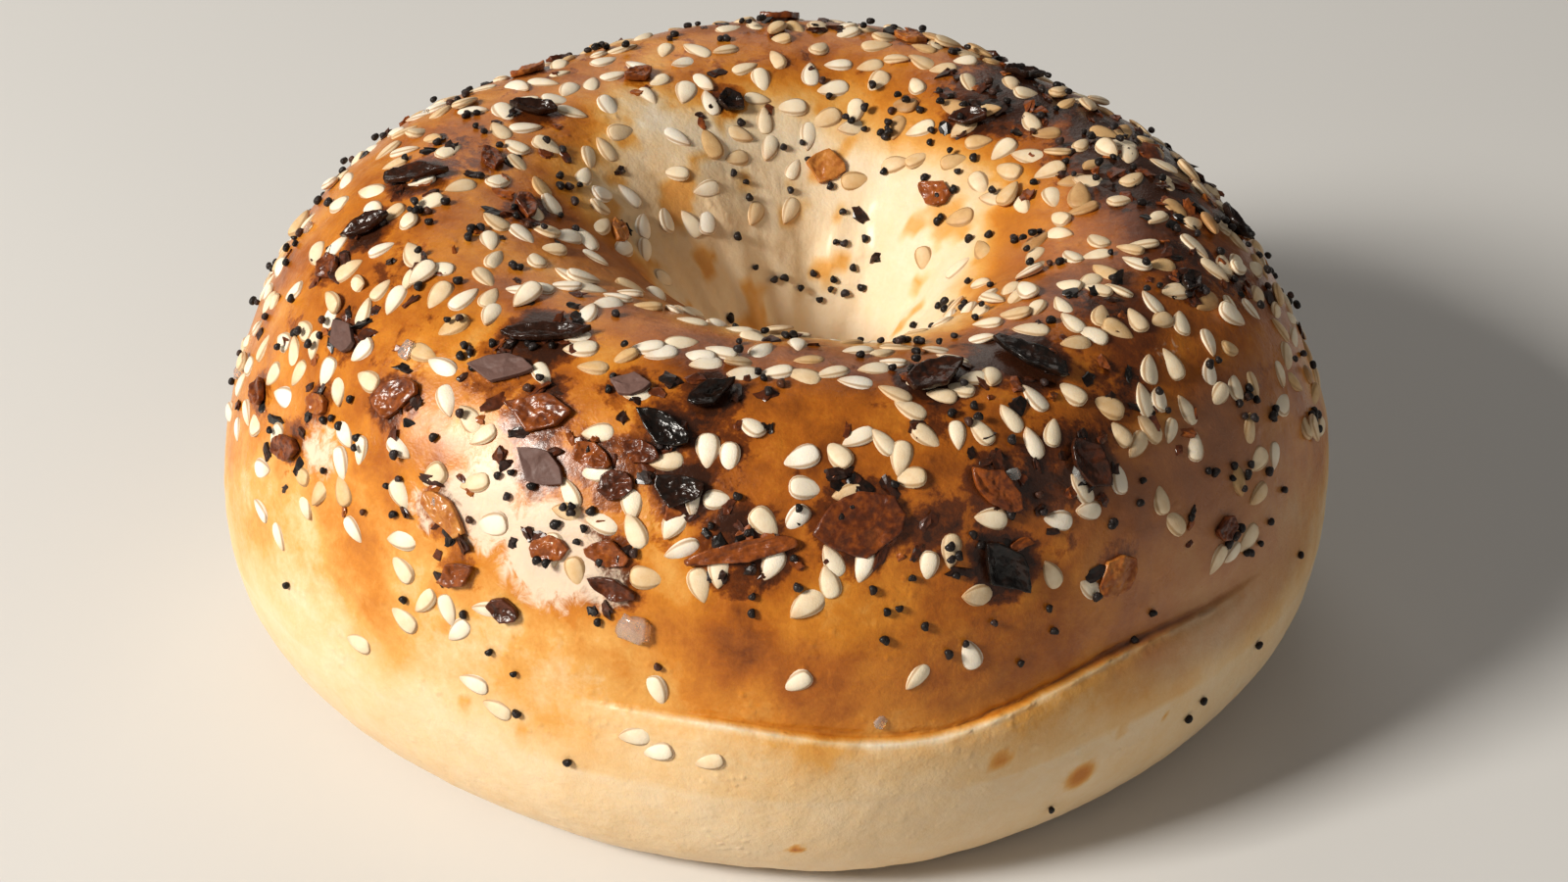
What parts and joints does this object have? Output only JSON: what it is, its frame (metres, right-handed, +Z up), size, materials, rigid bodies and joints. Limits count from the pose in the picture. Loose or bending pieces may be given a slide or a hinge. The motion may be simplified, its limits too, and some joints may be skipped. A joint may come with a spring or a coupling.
{
  "type": "bagel",
  "caption": "Everything bagel: a glazed ring of baked dough with a narrow funnel-shaped hole, a flat base to rest on, and toasted onion and garlic flakes on the crust",
  "frame": {"origin": "middle of the bounding box on the flat base, which is the surface that the bagel rests on", "axes": "+Z up, out of the top of the bagel; +X along its longest side; -Y towards the side with the torn seam, which faces the viewer"},
  "size_m": [0.112, 0.1024, 0.0533],
  "materials": {
    "crust": "glazed golden-brown baked crust, satin, paler at the skirt and in the hole",
    "onion": "toasted onion, dry and slightly glossy, red-brown",
    "charred_onion": "burnt onion, nearly black, glossy in spots",
    "garlic": "toasted garlic, amber, waxy"
  },
  "bodies": {
    "root": {"bread": "crust", "charred_flake_01": "charred_onion", "charred_flake_02": "charred_onion", "charred_flake_03": "charred_onion", "charred_flake_04": "charred_onion", "charred_flake_05": "charred_onion", "charred_flake_06": "charred_onion", "charred_flake_07": "charred_onion", "charred_flake_08": "charred_onion", "charred_flake_09": "charred_onion", "charred_flake_10": "charred_onion", "charred_flake_11": "charred_onion", "charred_flake_12": "charred_onion", "charred_flake_13": "charred_onion", "charred_flake_14": "charred_onion", "charred_flake_15": "charred_onion", "charred_flake_16": "charred_onion", "charred_flake_17": "charred_onion", "garlic_flake_01": "garlic", "garlic_flake_02": "garlic", "garlic_flake_03": "garlic", "garlic_flake_04": "garlic", "garlic_flake_05": "garlic", "garlic_flake_06": "garlic", "garlic_flake_07": "garlic", "garlic_flake_08": "garlic", "garlic_flake_09": "garlic", "garlic_flake_10": "garlic", "onion_flake_01": "onion", "onion_flake_02": "onion", "onion_flake_03": "onion", "onion_flake_04": "onion", "onion_flake_05": "onion", "onion_flake_06": "onion", "onion_flake_07": "onion", "onion_flake_08": "onion", "onion_flake_09": "onion", "onion_flake_10": "onion", "onion_flake_11": "onion", "onion_flake_12": "onion", "onion_flake_13": "onion", "onion_flake_14": "onion", "onion_flake_15": "onion", "onion_flake_16": "onion", "onion_flake_17": "onion", "onion_flake_18": "onion", "onion_flake_19": "onion", "onion_flake_20": "onion", "onion_flake_21": "onion", "onion_flake_22": "onion", "onion_flake_23": "onion", "onion_flake_24": "onion", "onion_flake_25": "onion", "onion_flake_26": "onion", "onion_flake_27": "onion", "onion_flake_28": "onion", "onion_flake_29": "onion"}
  },
  "joints": []
}
